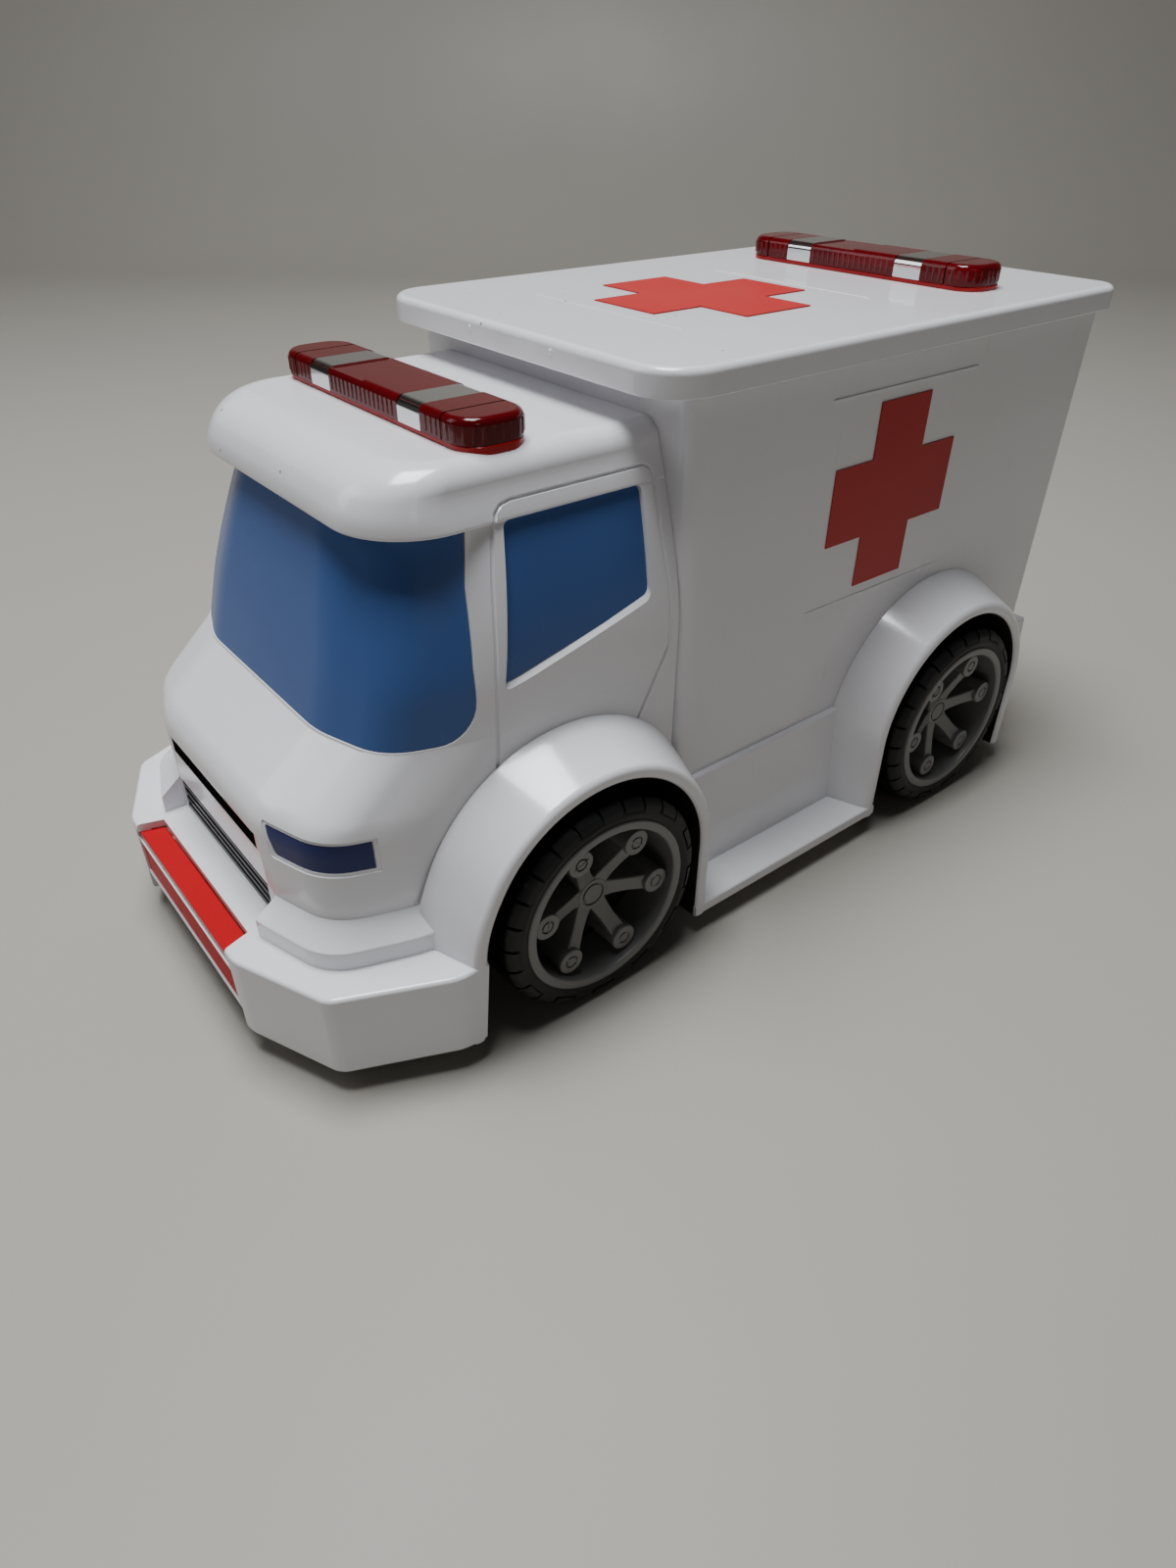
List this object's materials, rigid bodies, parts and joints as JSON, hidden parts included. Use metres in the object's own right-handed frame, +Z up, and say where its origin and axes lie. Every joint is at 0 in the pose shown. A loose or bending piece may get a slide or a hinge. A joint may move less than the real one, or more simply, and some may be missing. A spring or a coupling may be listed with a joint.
{
  "type": "toy ambulance",
  "caption": "Toy ambulance: a cab and a storage tub with a lift-off lid on a moulded lower body, with light bars, cross stickers and wheels that roll on through axles.",
  "frame": {"origin": "on the floor under the middle of the car: midway along its length and on its symmetry plane", "axes": "+Z up, -Y towards the front bumper, +X towards the car's left side, which the picture shows"},
  "size_m": [0.1548, 0.2986, 0.1631],
  "materials": {
    "white_plastic": "glossy moulded white with light scuffs",
    "red_plastic": "glossy red insert",
    "red_sticker": "printed red film",
    "blue_sticker": "printed blue film",
    "navy_sticker": "printed dark blue film",
    "black_plastic": "satin black",
    "red_lens": "clear dark red lens",
    "chrome_band": "mirror foil",
    "grey_plastic": "satin grey",
    "tyre_rubber": "matt black tread",
    "steel": "plain rod and screws"
  },
  "bodies": {
    "body": {"lower_body": "white_plastic", "cab_shell": "white_plastic", "box_tub": "white_plastic", "base_plate": "white_plastic", "base_screws": "steel", "grille": "black_plastic", "upper_bumper_pad": "red_plastic", "lower_bumper_pad": "red_plastic", "windscreen": "blue_sticker", "left_door_window": "blue_sticker", "right_door_window": "blue_sticker", "left_headlight": "navy_sticker", "right_headlight": "navy_sticker", "left_cross": "red_sticker", "right_cross": "red_sticker", "front_bar_base": "red_lens", "front_bar_lens": "red_lens", "front_bar_left_band": "chrome_band", "front_bar_right_band": "chrome_band"},
    "lid": {"lid": "white_plastic", "lid_cross": "red_sticker", "rear_bar_base": "red_lens", "rear_bar_lens": "red_lens", "rear_bar_left_band": "chrome_band", "rear_bar_right_band": "chrome_band"},
    "front_axle_set": {"front_axle": "steel", "front_left_hub": "grey_plastic", "front_right_hub": "grey_plastic", "front_left_tyre": "tyre_rubber", "front_right_tyre": "tyre_rubber"},
    "rear_axle_set": {"rear_axle": "steel", "rear_left_hub": "grey_plastic", "rear_right_hub": "grey_plastic", "rear_left_tyre": "tyre_rubber", "rear_right_tyre": "tyre_rubber"}
  },
  "joints": [
    {"name": "lid_lift", "type": "slide", "parent": "body", "child": "lid", "axis": [0, 0, 1], "range_m": [0, 0.1]},
    {"name": "front_axle_spin", "type": "hinge", "parent": "body", "child": "front_axle_set", "pos_m": [0, -0.06485, 0.0315], "axis": [1, 0, 0], "continuous": true},
    {"name": "rear_axle_spin", "type": "hinge", "parent": "body", "child": "rear_axle_set", "pos_m": [0, 0.08515, 0.0315], "axis": [1, 0, 0], "continuous": true}
  ]
}
